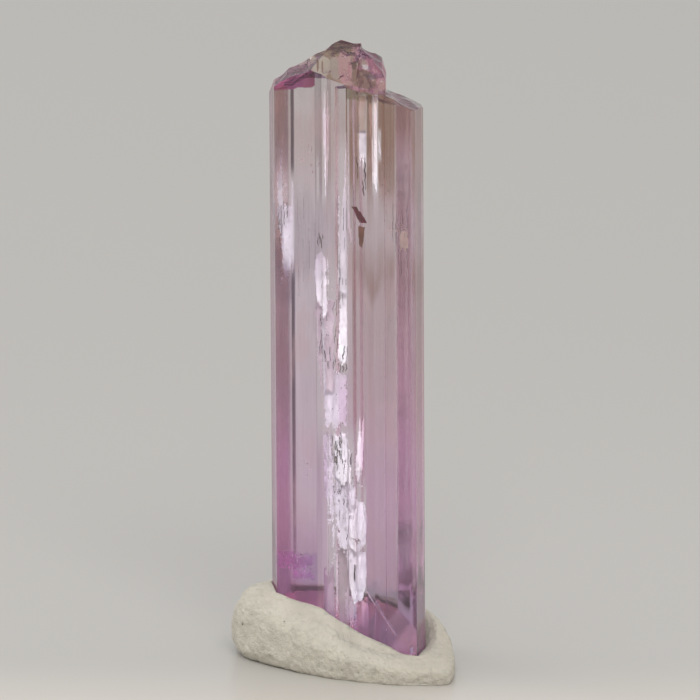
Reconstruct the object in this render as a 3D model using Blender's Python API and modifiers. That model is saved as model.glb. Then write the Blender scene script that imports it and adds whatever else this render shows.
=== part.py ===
"""Tanzanite crystal standing in a lump of mineral putty.

Metres, +Z up, front towards -Y. The origin is on the surface that the putty rests on, under the middle of the whole
object's outline in plan.
"""
import math

import bmesh
import bpy
from mathutils import Matrix, Vector

MM = 0.001

# Crystal, driving dimensions
COLUMN_TOP_Z = 31.2 * MM  # rough upper end of the growth columns, before their tops are cut
FOOT_Z = 0.62 * MM  # lower end of the crystal above the surface
FOOT_STEPS = {"middle": 0.04 * MM, "right": 0.10 * MM}  # how much higher the other columns' feet are
CRYSTAL_LEAN = math.radians(-0.28)  # the top leans to the left
FIT_GAP = 0.3 * MM  # between the crystal and its pocket

# Putty, driving dimensions
PUTTY_LOWEST_RIM = 1.05  # millimetres, at the right front corner
PUTTY_HIGHEST_RIM = 3.75  # millimetres, at the left and back
PUTTY_MIDDLE_HEIGHT = 2.85  # millimetres, at the axis
PUTTY_SLOPES = (-0.267, 0.36)  # rise towards the right and towards the back
POCKET_FLOOR_Z = FOOT_Z - FIT_GAP
POCKET_CUT_TOP_Z = 8.0 * MM
SURFACE_CUT_SIZE = (20 * MM, 20 * MM, 4 * MM)

# Mesh tolerances
WELD_DISTANCE = 0.002 * MM
CUT_TOLERANCE = 0.0001 * MM
FLAT_ANGLE = math.radians(0.5)

# Three parallel growth columns, each an outline in plan, in millimetres, counter-clockwise from its front left corner.
# Their inner corners lie inside the neighbouring column, and the small steps are striations along the length.
LEFT_COLUMN = [
    (-3.22, -0.10), (-2.52, -0.48), (-2.28, -0.56), (-1.28, -1.00), (-0.98, -1.08), (-0.72, -1.24), (-0.53, -1.30),
    (0.19, -1.54), (0.67, -1.30), (1.07, 1.00), (0.67, 2.55), (-0.43, 2.90), (-0.73, 2.88), (-1.78, 2.92),
    (-2.96, 2.40), (-3.20, 2.02), (-3.46, 1.30),
]
MIDDLE_COLUMN = [
    (0.02, -1.00), (0.24, -1.62), (0.62, -1.72), (0.82, -1.84), (1.15, -1.92), (1.47, -2.08), (1.69, -2.10),
    (2.08, -2.20), (2.12, 0.30), (1.67, 2.00), (1.02, 2.66), (0.42, 2.78), (-0.18, 2.45), (-0.48, 0.50),
]
RIGHT_COLUMN = [
    (1.87, -1.60), (2.02, -2.26), (3.46, -2.50), (3.86, -0.60), (3.78, 0.55), (3.52, 1.10), (2.87, 1.95),
    (2.32, 2.22), (1.42, 2.50), (1.32, 0.50),
]

# Faces of the grown and broken tops, each as the height in millimetres at the axis and the rise to the right and back
LEFT_TOP_FACES = {
    "roof": (30.90, 0.58, 0.46),
    "roof edge": (31.46, 0.86, 0.30),
    "back roof": (30.95, 0.55, -0.55),
    "left bevel": (37.93, 2.87, 0.0),
    "front face": (30.52, 0.0, 0.97),
    "back slope": (31.00, -0.10, -0.80),
}
MIDDLE_TOP_FACES = {
    "front face": (30.12, 0.11, 0.73),
    "back slope": (30.98, -0.10, -0.95),
    "lobe top": (30.66, -0.16, 0.0),
    "lobe right": (31.22, -0.79, 0.0),
    "lobe edge": (34.42, -2.46, 0.0),
}
RIGHT_TOP_FACES = {
    "shoulder": (29.15, -0.41, -0.18),
}

# Putty cage in plan, in millimetres, counter-clockwise from the front. The softened shape is a little smaller.
PUTTY_OUTLINE = [
    (0.30, -3.75), (2.60, -4.50), (4.70, -4.10), (5.75, -2.30), (5.10, 0.30), (3.60, 2.90), (1.40, 4.40),
    (-1.80, 4.75), (-4.40, 4.00), (-5.95, 1.70), (-4.75, -0.75), (-2.30, -2.75),
]
# Rings of the cage from the surface up: share of the outline, share of the local height
PUTTY_RINGS = [(0.90, -0.12), (1.00, 0.30), (0.95, 0.80), (0.66, 1.12)]


def clear_scene():
    for obj in list(bpy.data.objects):
        bpy.data.objects.remove(obj, do_unlink=True)
    for collection in list(bpy.data.collections):
        bpy.data.collections.remove(collection)


def new_collection(name):
    collection = bpy.data.collections.new(name)
    bpy.context.scene.collection.children.link(collection)
    return collection


def move_to(obj, collection):
    for other in list(obj.users_collection):
        other.objects.unlink(obj)
    collection.objects.link(obj)


def as_guide(obj):
    obj.hide_render = True
    obj.display_type = "WIRE"


def add_boolean(obj, other, operation):
    modifier = obj.modifiers.new(other.name, "BOOLEAN")
    modifier.operation = operation
    modifier.solver = "EXACT"
    modifier.object = other


def new_material(name, colour, roughness, transmission=0.0, ior=1.45):
    material = bpy.data.materials.new(name)
    material.use_nodes = True
    shader = material.node_tree.nodes["Principled BSDF"]
    shader.inputs["Base Color"].default_value = (*colour, 1.0)
    shader.inputs["Roughness"].default_value = roughness
    shader.inputs["Metallic"].default_value = 0.0
    shader.inputs["Transmission Weight"].default_value = transmission
    shader.inputs["IOR"].default_value = ior
    material.diffuse_color = (*colour, 1.0)
    return material


def extruded_outline(name, outline_mm, bottom, top, collection):
    """A flat outline drawn as a filled 2D curve and extruded between two heights, as a mesh object."""
    curve = bpy.data.curves.new(name + "_outline", "CURVE")
    curve.dimensions = "2D"
    curve.fill_mode = "BOTH"
    curve.extrude = (top - bottom) / 2
    spline = curve.splines.new("POLY")
    spline.points.add(len(outline_mm) - 1)
    for point, (x, y) in zip(spline.points, outline_mm):
        point.co = (x * MM, y * MM, 0.0, 1.0)
    spline.use_cyclic_u = True
    drawn = bpy.data.objects.new(name + "_outline", curve)
    drawn.location.z = (top + bottom) / 2
    bpy.context.scene.collection.objects.link(drawn)
    bpy.context.view_layer.update()
    evaluated = drawn.evaluated_get(bpy.context.evaluated_depsgraph_get())
    mesh = bpy.data.meshes.new_from_object(evaluated)
    mesh.name = name
    matrix = drawn.matrix_world.copy()
    bpy.data.objects.remove(drawn, do_unlink=True)
    bpy.data.curves.remove(curve)

    bm = bmesh.new()
    bm.from_mesh(mesh)
    bmesh.ops.remove_doubles(bm, verts=bm.verts, dist=WELD_DISTANCE)
    bmesh.ops.dissolve_limit(bm, angle_limit=FLAT_ANGLE, verts=bm.verts, edges=bm.edges)
    bmesh.ops.recalc_face_normals(bm, faces=bm.faces)
    bm.to_mesh(mesh)
    bm.free()
    mesh.shade_flat()
    obj = bpy.data.objects.new(name, mesh)
    obj.matrix_world = matrix
    collection.objects.link(obj)
    return obj


def cut_top(obj, faces):
    """Cuts away what is above each plane z = height + rise_x * x + rise_y * y."""
    bm = bmesh.new()
    bm.from_mesh(obj.data)
    to_local = obj.matrix_world.inverted()
    for height, rise_x, rise_y in faces.values():
        point = to_local @ Vector((0.0, 0.0, height * MM))
        normal = Vector((-rise_x, -rise_y, 1.0)).normalized()
        geometry = bm.verts[:] + bm.edges[:] + bm.faces[:]
        cut = bmesh.ops.bisect_plane(
            bm, geom=geometry, dist=CUT_TOLERANCE, plane_co=point, plane_no=normal, clear_outer=True
        )
        rim = [item for item in cut["geom_cut"] if isinstance(item, bmesh.types.BMEdge)]
        if rim:
            bmesh.ops.contextual_create(bm, geom=rim)
    bmesh.ops.recalc_face_normals(bm, faces=bm.faces)
    bm.to_mesh(obj.data)
    bm.free()


def convex_hull(points):
    """Corners of the convex outline around points in plan, counter-clockwise."""
    ordered = sorted(set(points))

    def half(sequence):
        chain = []
        for point in sequence:
            while len(chain) > 1:
                last = Vector(chain[-1]) - Vector(chain[-2])
                step = Vector(point) - Vector(chain[-1])
                if last.x * step.y - last.y * step.x > 0:
                    break
                chain.pop()
            chain.append(point)
        return chain[:-1]

    return half(ordered) + half(reversed(ordered))


def grown_outline(outline_mm, gap_mm):
    """The convex outline around the given points, moved outwards by the gap."""
    hull = convex_hull(outline_mm)
    corners = []
    for index, corner in enumerate(hull):
        before = Vector(corner) - Vector(hull[index - 1])
        after = Vector(hull[(index + 1) % len(hull)]) - Vector(corner)
        out_before = Vector((before.y, -before.x)).normalized()
        out_after = Vector((after.y, -after.x)).normalized()
        share = gap_mm / (1.0 + out_before.dot(out_after))
        corners.append(tuple(Vector(corner) + (out_before + out_after) * share))
    return corners


def make_crystal(parts, guides):
    crystal = extruded_outline("tanzanite_crystal", LEFT_COLUMN, FOOT_Z, COLUMN_TOP_Z, parts)
    middle = extruded_outline("middle_column", MIDDLE_COLUMN, FOOT_Z + FOOT_STEPS["middle"], COLUMN_TOP_Z, guides)
    right = extruded_outline("right_column", RIGHT_COLUMN, FOOT_Z + FOOT_STEPS["right"], COLUMN_TOP_Z, guides)
    cut_top(crystal, LEFT_TOP_FACES)
    cut_top(middle, MIDDLE_TOP_FACES)
    cut_top(right, RIGHT_TOP_FACES)
    lean = Matrix.Rotation(CRYSTAL_LEAN, 4, "Y")
    for column in (crystal, middle, right):
        column.matrix_world = lean @ column.matrix_world
    for column in (middle, right):
        as_guide(column)
        add_boolean(crystal, column, "UNION")
    tanzanite = new_material("tanzanite", (0.66, 0.50, 0.62), roughness=0.03, transmission=1.0, ior=1.69)
    crystal.data.materials.append(tanzanite)


def putty_height(x, y):
    """Local height of the putty in millimetres: high at the left and back, low at the right front corner."""
    height = PUTTY_MIDDLE_HEIGHT + PUTTY_SLOPES[0] * x + PUTTY_SLOPES[1] * y
    return max(PUTTY_LOWEST_RIM, min(height, PUTTY_HIGHEST_RIM))


def putty_cage():
    """The putty's coarse cage: rings around the outline, closed below and above."""
    bm = bmesh.new()
    rings = []
    for share, level in PUTTY_RINGS:
        ring = []
        for x, y in PUTTY_OUTLINE:
            height = putty_height(x * share, y * share) * level
            ring.append(bm.verts.new((x * share * MM, y * share * MM, height * MM)))
        rings.append(ring)
    for lower, upper in zip(rings, rings[1:]):
        for index in range(len(lower)):
            after = (index + 1) % len(lower)
            bm.faces.new((lower[index], lower[after], upper[after], upper[index]))
    bm.faces.new(list(reversed(rings[0])))
    bm.faces.new(rings[-1])
    bmesh.ops.recalc_face_normals(bm, faces=bm.faces)
    mesh = bpy.data.meshes.new("putty_base")
    bm.to_mesh(mesh)
    bm.free()
    mesh.shade_smooth()
    return mesh


def make_putty(parts, guides):
    putty = bpy.data.objects.new("putty_base", putty_cage())
    parts.objects.link(putty)
    soften = putty.modifiers.new("soften", "SUBSURF")
    soften.levels = 2
    soften.render_levels = 2

    bpy.ops.mesh.primitive_cube_add(size=1.0, location=(0.0, 0.0, -SURFACE_CUT_SIZE[2] / 2))
    below = bpy.context.object
    below.name = "surface_cut"
    below.scale = SURFACE_CUT_SIZE
    move_to(below, guides)
    as_guide(below)
    add_boolean(putty, below, "DIFFERENCE")

    outline = grown_outline(LEFT_COLUMN + MIDDLE_COLUMN + RIGHT_COLUMN, FIT_GAP / MM)
    pocket = extruded_outline("pocket_cut", outline, POCKET_FLOOR_Z, POCKET_CUT_TOP_Z, guides)
    as_guide(pocket)
    add_boolean(putty, pocket, "DIFFERENCE")
    putty.data.materials.append(new_material("putty", (0.66, 0.62, 0.53), roughness=0.8))


def centre_in_plan(parts, guides):
    """Moves the whole model so that the middle of its outline in plan is at the origin."""
    bpy.context.view_layer.update()
    depsgraph = bpy.context.evaluated_depsgraph_get()
    points = []
    for obj in parts.objects:
        evaluated = obj.evaluated_get(depsgraph)
        points += [obj.matrix_world @ vertex.co for vertex in evaluated.data.vertices]
    shift = Vector((0.0, 0.0, 0.0))
    for axis in (0, 1):
        values = [point[axis] for point in points]
        shift[axis] = -(min(values) + max(values)) / 2
    for obj in list(parts.objects) + list(guides.objects):
        obj.matrix_world = Matrix.Translation(shift) @ obj.matrix_world


def main():
    clear_scene()
    parts = new_collection("tanzanite_on_putty")
    guides = new_collection("cutters")
    make_crystal(parts, guides)
    make_putty(parts, guides)
    centre_in_plan(parts, guides)


main()
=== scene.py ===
import math
import random

import bmesh
import bpy
from mathutils import Matrix, Vector, noise


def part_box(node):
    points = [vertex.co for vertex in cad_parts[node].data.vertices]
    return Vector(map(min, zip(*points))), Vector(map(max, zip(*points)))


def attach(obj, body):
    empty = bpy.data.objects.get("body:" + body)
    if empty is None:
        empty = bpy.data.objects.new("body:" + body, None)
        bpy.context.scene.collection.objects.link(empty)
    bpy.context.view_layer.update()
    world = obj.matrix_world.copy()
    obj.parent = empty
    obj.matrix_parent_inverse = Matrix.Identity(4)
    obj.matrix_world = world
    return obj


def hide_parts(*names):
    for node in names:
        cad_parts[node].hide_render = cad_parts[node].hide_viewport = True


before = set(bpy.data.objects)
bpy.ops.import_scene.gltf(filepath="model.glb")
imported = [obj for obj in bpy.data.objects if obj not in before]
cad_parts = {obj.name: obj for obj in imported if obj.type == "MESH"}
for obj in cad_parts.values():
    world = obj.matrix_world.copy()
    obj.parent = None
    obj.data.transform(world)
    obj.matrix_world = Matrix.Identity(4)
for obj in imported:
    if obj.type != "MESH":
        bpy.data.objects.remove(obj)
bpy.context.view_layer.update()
mm = 0.001
print("frame loaded")


# Helpers for node trees and meshes

class Wire:  # a node's output, so that sums on it add Math nodes
    def __init__(self, nodes, socket):
        self.nodes = nodes
        self.socket = socket

    def maths(self, operation, *values):
        return self.nodes.add("ShaderNodeMath", {"operation": operation}, dict(enumerate(values)))

    def __add__(self, other):
        return self.maths("ADD", self, other)

    __radd__ = __add__

    def __sub__(self, other):
        return self.maths("SUBTRACT", self, other)

    def __rsub__(self, other):
        return self.maths("SUBTRACT", other, self)

    def __mul__(self, other):
        return self.maths("MULTIPLY", self, other)

    __rmul__ = __mul__

    def __truediv__(self, other):
        return self.maths("DIVIDE", self, other)

    def __pow__(self, power):
        return self.maths("POWER", self, power)

    def __abs__(self):
        return self.maths("ABSOLUTE", self)

    def __gt__(self, other):
        return self.maths("GREATER_THAN", self, other)

    def __lt__(self, other):
        return self.maths("LESS_THAN", self, other)

    def rise(self, low, high):  # 0 below low, 1 above high, smooth between
        return self.nodes.add(
            "ShaderNodeMapRange", {"interpolation_type": "SMOOTHSTEP"},
            {"Value": self, "From Min": low, "From Max": high},
        )

    def between(self, low, high, soft):  # 1 from low to high, with soft edges
        return self.rise(low - soft, low + soft) * (1 - self.rise(high - soft, high + soft))

    def out(self, name):  # another output of the same node
        return Wire(self.nodes, self.socket.node.outputs[name])


class Nodes:
    def __init__(self, tree):
        self.tree = tree

    def add(self, kind, settings=None, inputs=None):
        made = self.tree.nodes.new(kind)
        for name, value in (settings or {}).items():
            if name == "stops":
                setStops(made.color_ramp, value)
            elif name == "blend":
                made.color_ramp.interpolation = value
            else:
                setattr(made, name, value)
        for key, value in (inputs or {}).items():
            if isinstance(value, Wire):
                self.tree.links.new(value.socket, made.inputs[key])
            elif isinstance(value, list):
                for wire in value:
                    self.tree.links.new(wire.socket, made.inputs[key])
            else:
                made.inputs[key].default_value = value
        live = [socket for socket in made.outputs if socket.enabled]
        return Wire(self, live[0]) if live else made

    def mix(self, share, first, second):  # two colours
        def ready(colour):
            return colour if isinstance(colour, Wire) else (*colour, 1.0)
        made = self.add(
            "ShaderNodeMix", {"data_type": "RGBA"}, {"Factor": share, 6: ready(first), 7: ready(second)},
        )
        return Wire(self, made.socket.node.outputs[2])

    def noise(self, vector, scale, detail=2.0, roughness=0.5):
        return self.add("ShaderNodeTexNoise", {}, {
            "Vector": vector, "Scale": scale, "Detail": detail, "Roughness": roughness,
        })

    def vector(self, x, y, z):
        return self.add("ShaderNodeCombineXYZ", {}, {"X": x, "Y": y, "Z": z})

    def ramp(self, value, stops, blend="LINEAR"):
        return self.add("ShaderNodeValToRGB", {"stops": stops, "blend": blend}, {0: value})


def setStops(ramp, stops):
    while len(ramp.elements) < len(stops):
        ramp.elements.new(0.5)
    for element, (place, colour) in zip(ramp.elements, stops):
        element.position = place
        element.color = (*colour, 1.0) if isinstance(colour, tuple) else (colour, colour, colour, 1.0)


def srgb(red, green, blue):  # a colour as a screen shows it, 0 to 255, made linear
    def linear(value):
        share = value / 255
        return share / 12.92 if share <= 0.04045 else ((share + 0.055) / 1.055) ** 2.4
    return (linear(red), linear(green), linear(blue))


def newMaterial(name):
    material = bpy.data.materials.new(name)
    material.use_nodes = True
    material.node_tree.nodes.clear()
    return material, Nodes(material.node_tree)


def finishMaterial(nodes, sockets, volume=None):
    ends = {"Surface": nodes.add("ShaderNodeBsdfPrincipled", {}, sockets)}
    if volume:
        ends["Volume"] = volume
    nodes.add("ShaderNodeOutputMaterial", {}, ends)


def place(nodes):  # object coordinates in millimetres, as three wires
    parts = nodes.add("ShaderNodeSeparateXYZ", {}, {0: nodes.add("ShaderNodeTexCoord").out("Object")})
    return parts.out("X") / mm, parts.out("Y") / mm, parts.out("Z") / mm


def link(obj):
    bpy.context.scene.collection.objects.link(obj)
    return obj


def newMeshObject(name, bm, smooth=False):
    mesh = bpy.data.meshes.new(name)
    bm.to_mesh(mesh)
    bm.free()
    if smooth:
        mesh.shade_smooth()
    else:
        mesh.shade_flat()
    return link(bpy.data.objects.new(name, mesh))


def applyModifiers(obj):  # the modifiers' result becomes the plain mesh
    depsgraph = bpy.context.evaluated_depsgraph_get()
    mesh = bpy.data.meshes.new_from_object(obj.evaluated_get(depsgraph))
    obj.modifiers.clear()
    obj.data = mesh


def joinInto(name, objects):  # several finished meshes become one piece
    bm = bmesh.new()
    materials = []
    for obj in objects:
        for material in obj.data.materials:
            if material not in materials:
                materials.append(material)
        first = len(bm.faces)
        bm.from_mesh(obj.data)
        bm.faces.ensure_lookup_table()
        slot = materials.index(obj.data.materials[0])
        for face in bm.faces[first:]:
            face.material_index = slot
    whole = newMeshObject(name, bm)
    for material in materials:
        whole.data.materials.append(material)
    for obj in objects:
        bpy.data.objects.remove(obj)
    return whole


def geometryTree(name, inputs):
    tree = bpy.data.node_groups.new(name, "GeometryNodeTree")
    tree.interface.new_socket("Geometry", in_out="INPUT", socket_type="NodeSocketGeometry")
    for label, kind in inputs:
        tree.interface.new_socket(label, in_out="INPUT", socket_type="NodeSocket" + kind)
    tree.interface.new_socket("Geometry", in_out="OUTPUT", socket_type="NodeSocketGeometry")
    nodes = Nodes(tree)
    return tree, nodes, nodes.add("NodeGroupInput")


def finishTree(nodes, geometry, material):
    whole = nodes.add("GeometryNodeRealizeInstances", {}, {"Geometry": geometry})
    coated = nodes.add("GeometryNodeSetMaterial", {}, {"Geometry": whole, "Material": material})
    nodes.add("NodeGroupOutput", {}, {"Geometry": coated})


def oneMaterial(obj, material):
    obj.data.materials.clear()
    obj.data.materials.append(material)
    for face in obj.data.polygons:
        face.material_index = 0


def runTree(obj, tree, values):  # sets the tree's inputs and keeps its result as a mesh
    modifier = obj.modifiers.new(tree.name, "NODES")
    modifier.node_group = tree
    for item in tree.interface.items_tree:
        if item.in_out == "INPUT" and item.name in values:
            modifier[item.identifier] = values[item.name]
    applyModifiers(obj)
    oneMaterial(obj, values["Material"])


def thicken(nodes, sheet, direction, thickness):  # a closed plate from an open sheet
    lifted = nodes.add(
        "GeometryNodeExtrudeMesh", {"mode": "FACES"},
        {"Mesh": sheet, "Offset": direction, "Offset Scale": thickness, "Individual": False},
    )
    under = nodes.add("GeometryNodeFlipFaces", {}, {"Mesh": sheet})
    both = nodes.add("GeometryNodeJoinGeometry", {}, {0: [under, lifted]})
    return nodes.add("GeometryNodeMergeByDistance", {}, {"Geometry": both, "Distance": 1e-7})


# Camera, light and floor

cameraView = {
    "elevation": 16.0,   # degrees above the horizon
    "distance": 0.8,     # metres, a long lens
    "pixel": 0.048,      # millimetres that a pixel shows at the crystal
    "axisPixel": (344.5, 660.5),  # where the row's origin is in the frame
    "imageSize": 700,
}


def makeCamera(view):
    tilt = math.radians(view["elevation"])
    pixel = view["pixel"] * mm
    upwards = Vector((0, math.sin(tilt), math.cos(tilt)))
    forwards = Vector((0, math.cos(tilt), -math.sin(tilt)))
    middle = view["imageSize"] / 2
    across = (middle - view["axisPixel"][0]) * pixel
    above = (view["axisPixel"][1] - middle) * pixel
    centre = Vector((across, 0, 0)) + upwards * above
    data = bpy.data.cameras.new("camera")
    data.sensor_width = 36
    data.lens = data.sensor_width * view["distance"] / (view["imageSize"] * pixel)
    data.clip_start = 0.01
    data.clip_end = 10
    camera = link(bpy.data.objects.new("camera", data))
    camera.location = centre - forwards * view["distance"]
    camera.rotation_euler = (math.radians(90) - tilt, 0, 0)
    bpy.context.scene.camera = camera


studio = {
    "floorSize": 6.0,
    "floorColour": srgb(176, 174, 170),
    "farShadeColour": srgb(166, 164, 160),    # painted shade: darker well behind the crystal, where the light falls off
    "nearLightColour": srgb(202, 196, 187),   # painted light: lighter in front of it, for the floor's bright reflection of the putty
    "cloudColour": srgb(160, 156, 150),
    "floorRoughness": 0.30,
    "skyLow": 0.62,      # brightness of the surroundings at the horizon
    "skyHigh": 0.86,     # and overhead
    "aim": (0.0, 0.0, 0.015),
    "softboxes": {       # place, size and brightness of each
        "backLeft": ((-0.30, 0.12, 0.20), (0.16, 0.16), 3.0),
        "frontTop": ((0.04, -0.26, 0.30), (0.24, 0.16), 5.0),
    },
}


def makeFloor(settings):
    material, nodes = newMaterial("paleFloor")
    x, y, z = place(nodes)
    cloud = nodes.noise(nodes.vector(x, y, z), 0.02, 3.0)
    # painted shade far behind the crystal and painted light in front of it
    away = y.rise(5.0, 60.0)
    near = 1 - y.rise(-9.0, 1.0) * 0.8
    colour = nodes.mix(away * 0.55, settings["floorColour"], settings["farShadeColour"])
    colour = nodes.mix(near, colour, settings["nearLightColour"])
    colour = nodes.mix(cloud * 0.06, colour, settings["cloudColour"])
    finishMaterial(nodes, {"Base Color": colour, "Roughness": settings["floorRoughness"]})
    bm = bmesh.new()
    bmesh.ops.create_grid(bm, x_segments=1, y_segments=1, size=settings["floorSize"] / 2)
    floor = newMeshObject("floor", bm)
    floor.data.materials.append(material)


def makeLights(settings):
    world = bpy.data.worlds.new("studio")
    bpy.context.scene.world = world
    world.use_nodes = True
    world.node_tree.nodes.clear()
    nodes = Nodes(world.node_tree)
    height = nodes.add("ShaderNodeSeparateXYZ", {}, {0: nodes.add("ShaderNodeTexCoord")}).out("Z")
    glow = settings["skyLow"] + height.rise(0.0, 1.0) * (settings["skyHigh"] - settings["skyLow"])
    sky = nodes.add("ShaderNodeBackground", {}, {"Color": (1.0, 1.0, 1.0, 1), "Strength": glow})
    nodes.add("ShaderNodeOutputWorld", {}, {"Surface": sky})
    for name, (spot, size, brightness) in settings["softboxes"].items():
        data = bpy.data.lights.new(name, "AREA")
        data.shape = "RECTANGLE"
        data.size, data.size_y = size
        data.energy = brightness * math.pi * size[0] * size[1]
        box = link(bpy.data.objects.new(name, data))
        box.location = spot
        box.rotation_euler = (Vector(settings["aim"]) - box.location).to_track_quat("-Z", "Y").to_euler()
        box.visible_camera = False


makeCamera(cameraView)
makeFloor(studio)
makeLights(studio)
bpy.context.scene.view_settings.view_transform = "Standard"
bpy.context.scene.cycles.max_bounces = 28
bpy.context.scene.cycles.transmission_bounces = 28
bpy.context.scene.cycles.glossy_bounces = 12
bpy.context.scene.cycles.use_denoising = True
print("studio made")


# Crystal

crystalShape = {
    "foot": 0.62,         # millimetres above the floor
    "footSteps": (0.0, 0.04, 0.10),  # how much higher each column's foot is
    "rough": 31.2,        # rough upper end before the tops are cut
    "lean": -0.28,        # degrees, the top leans to the left
    "striaCuts": 2,       # how often each face is halved for its striations
    "striaDepth": 0.006,  # millimetres
    "striaSeed": 4,
}

# Plans of the three growth columns, in millimetres, from the front left corner round to the right.
columnPlans = (
    [
        (-3.22, -0.10), (-2.52, -0.48), (-2.28, -0.56), (-1.28, -1.00), (-0.98, -1.08), (-0.72, -1.24),
        (-0.53, -1.30), (0.19, -1.54), (0.67, -1.30), (1.07, 1.00), (0.67, 2.55), (-0.43, 2.90),
        (-0.73, 2.88), (-1.78, 2.92), (-2.96, 2.40), (-3.20, 2.02), (-3.46, 1.30),
    ],
    [
        (0.02, -1.00), (0.24, -1.62), (0.62, -1.72), (0.82, -1.84), (1.15, -1.92), (1.47, -2.08),
        (1.69, -2.10), (2.08, -2.20), (2.12, 0.30), (1.67, 2.00), (1.02, 2.66), (0.42, 2.78),
        (-0.18, 2.45), (-0.48, 0.50),
    ],
    [
        (1.87, -1.60), (2.02, -2.26), (3.46, -2.50), (3.86, -0.60), (3.78, 0.55), (3.52, 1.10),
        (2.87, 1.95), (2.32, 2.22), (1.42, 2.50), (1.32, 0.50),
    ],
)

# Faces of each column's top: height at the axis, and the rise to the right and to the back.
columnTops = (
    [
        (30.90, 0.58, 0.46), (31.46, 0.86, 0.30), (30.95, 0.55, -0.55), (37.93, 2.87, 0.0),
        (30.52, 0.0, 0.97), (31.00, -0.10, -0.80),
    ],
    [
        (30.12, 0.11, 0.73), (30.98, -0.10, -0.95), (30.66, -0.16, 0.0), (31.22, -0.79, 0.0),
        (34.42, -2.46, 0.0),
    ],
    [(29.15, -0.41, -0.18)],
)

# Broken faces at each column's foot, which the putty hides from outside.
columnFeet = (
    [(1.12, 0.10, 0.74)],
    [(1.10, 0.10, 0.70)],
    [(1.32, -0.05, 0.72)],
)

brokenRoof = {
    "above": 20.0,        # millimetres, faces above this that look upwards are the roof
    "grain": 0.11,        # millimetres between the points of its surface
    "splits": 7,          # rounds of splitting that reach the grain
    "chips": 46,
    "depth": (0.05, 0.16),
    "deepest": 0.16,
    "hollow": (0.18, 0.6),  # how sharply each chip is hollowed
    "tilt": 0.22,
    "whole": 0.6,         # millimetres round the highest point that stay whole
    "sharp": 14,          # degrees, edges that bend more stay sharp
    "seed": 12,
}


def makeColumnTree():
    tree, nodes, given = geometryTree("striatedColumn", [
        ("Length", "Float"), ("Cuts", "Int"), ("Stria Depth", "Float"), ("Seed", "Int"),
        ("Material", "Material"),
    ])
    fine = nodes.add("GeometryNodeSubdivideMesh", {}, {"Mesh": given, "Level": given.out("Cuts")})
    ring = nodes.add("GeometryNodeMeshToCurve", {}, {"Mesh": fine})
    outwards = nodes.add(
        "ShaderNodeVectorMath", {"operation": "CROSS_PRODUCT"},
        {0: nodes.add("GeometryNodeInputTangent"), 1: (0.0, 0.0, 1.0)},
    )
    chance = nodes.add("FunctionNodeRandomValue", {"data_type": "FLOAT"}, {
        "Min": -1.0, "Max": 0.0, "Seed": given.out("Seed"),
    })
    step = nodes.add("ShaderNodeVectorMath", {"operation": "SCALE"}, {
        0: outwards, "Scale": chance * given.out("Stria Depth"),
    })
    ribbed = nodes.add("GeometryNodeSetPosition", {}, {"Geometry": ring, "Offset": step})
    foot = nodes.add("GeometryNodeFillCurve", {"mode": "NGONS"}, {"Curve": ribbed})
    grown = thicken(nodes, foot, (0.0, 0.0, 1.0), given.out("Length"))
    finishTree(nodes, grown, given.out("Material"))
    return tree


def makeColumn(index, tree, material, shape):
    bm = bmesh.new()
    corners = [bm.verts.new((x * mm, y * mm, 0)) for x, y in columnPlans[index]]
    for first, second in zip(corners, corners[1:] + corners[:1]):
        bm.edges.new((first, second))
    column = newMeshObject(f"column{index}", bm)
    foot = (shape["foot"] + shape["footSteps"][index]) * mm
    runTree(column, tree, {
        "Length": shape["rough"] * mm - foot, "Cuts": shape["striaCuts"],
        "Stria Depth": shape["striaDepth"] * mm, "Seed": shape["striaSeed"] + index, "Material": material,
    })
    column.data.transform(Matrix.Translation((0, 0, foot)))
    cutFaces(column, columnTops[index])
    cutFaces(column, columnFeet[index], below=True)
    return column


def cutFaces(obj, faces, below=False):  # cuts away what is above, or below, each face's plane
    bm = bmesh.new()
    bm.from_mesh(obj.data)
    for height, riseRight, riseBack in faces:
        away = Vector((-riseRight, -riseBack, 1)).normalized()
        cut = bmesh.ops.bisect_plane(
            bm, geom=bm.verts[:] + bm.edges[:] + bm.faces[:], dist=1e-7, plane_co=(0, 0, height * mm),
            plane_no=-away if below else away, clear_outer=True,
        )
        rim = [item for item in cut["geom_cut"] if isinstance(item, bmesh.types.BMEdge)]
        if rim:
            bmesh.ops.contextual_create(bm, geom=rim)
    bmesh.ops.recalc_face_normals(bm, faces=bm.faces)
    bm.to_mesh(obj.data)
    bm.free()


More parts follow.
